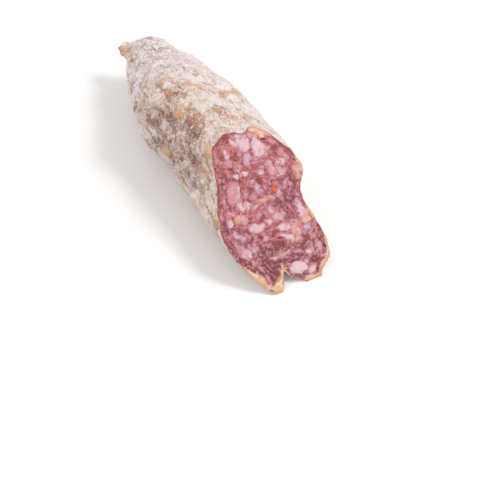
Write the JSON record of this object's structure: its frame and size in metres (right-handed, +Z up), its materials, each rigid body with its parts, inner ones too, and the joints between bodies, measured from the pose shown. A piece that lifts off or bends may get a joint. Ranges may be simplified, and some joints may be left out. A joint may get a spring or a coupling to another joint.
{
  "type": "cured sausage",
  "caption": "Dry cured sausage in a mould-dusted natural casing, lying on its side, with one end sliced away on a long slant to show lean meat and coarse fat.",
  "frame": {"origin": "on the surface it lies on, under the middle of its bounding box", "axes": "+X along the sausage from the twisted tail to the slanting cut, +Z up, +Y to the side"},
  "size_m": [0.1726, 0.0554, 0.0497],
  "materials": {
    "casing": "dry, powdery white mould over amber casing",
    "meat": "satin, slightly moist cut face"
  },
  "bodies": {
    "root": {"sausage": "casing"}
  },
  "joints": []
}
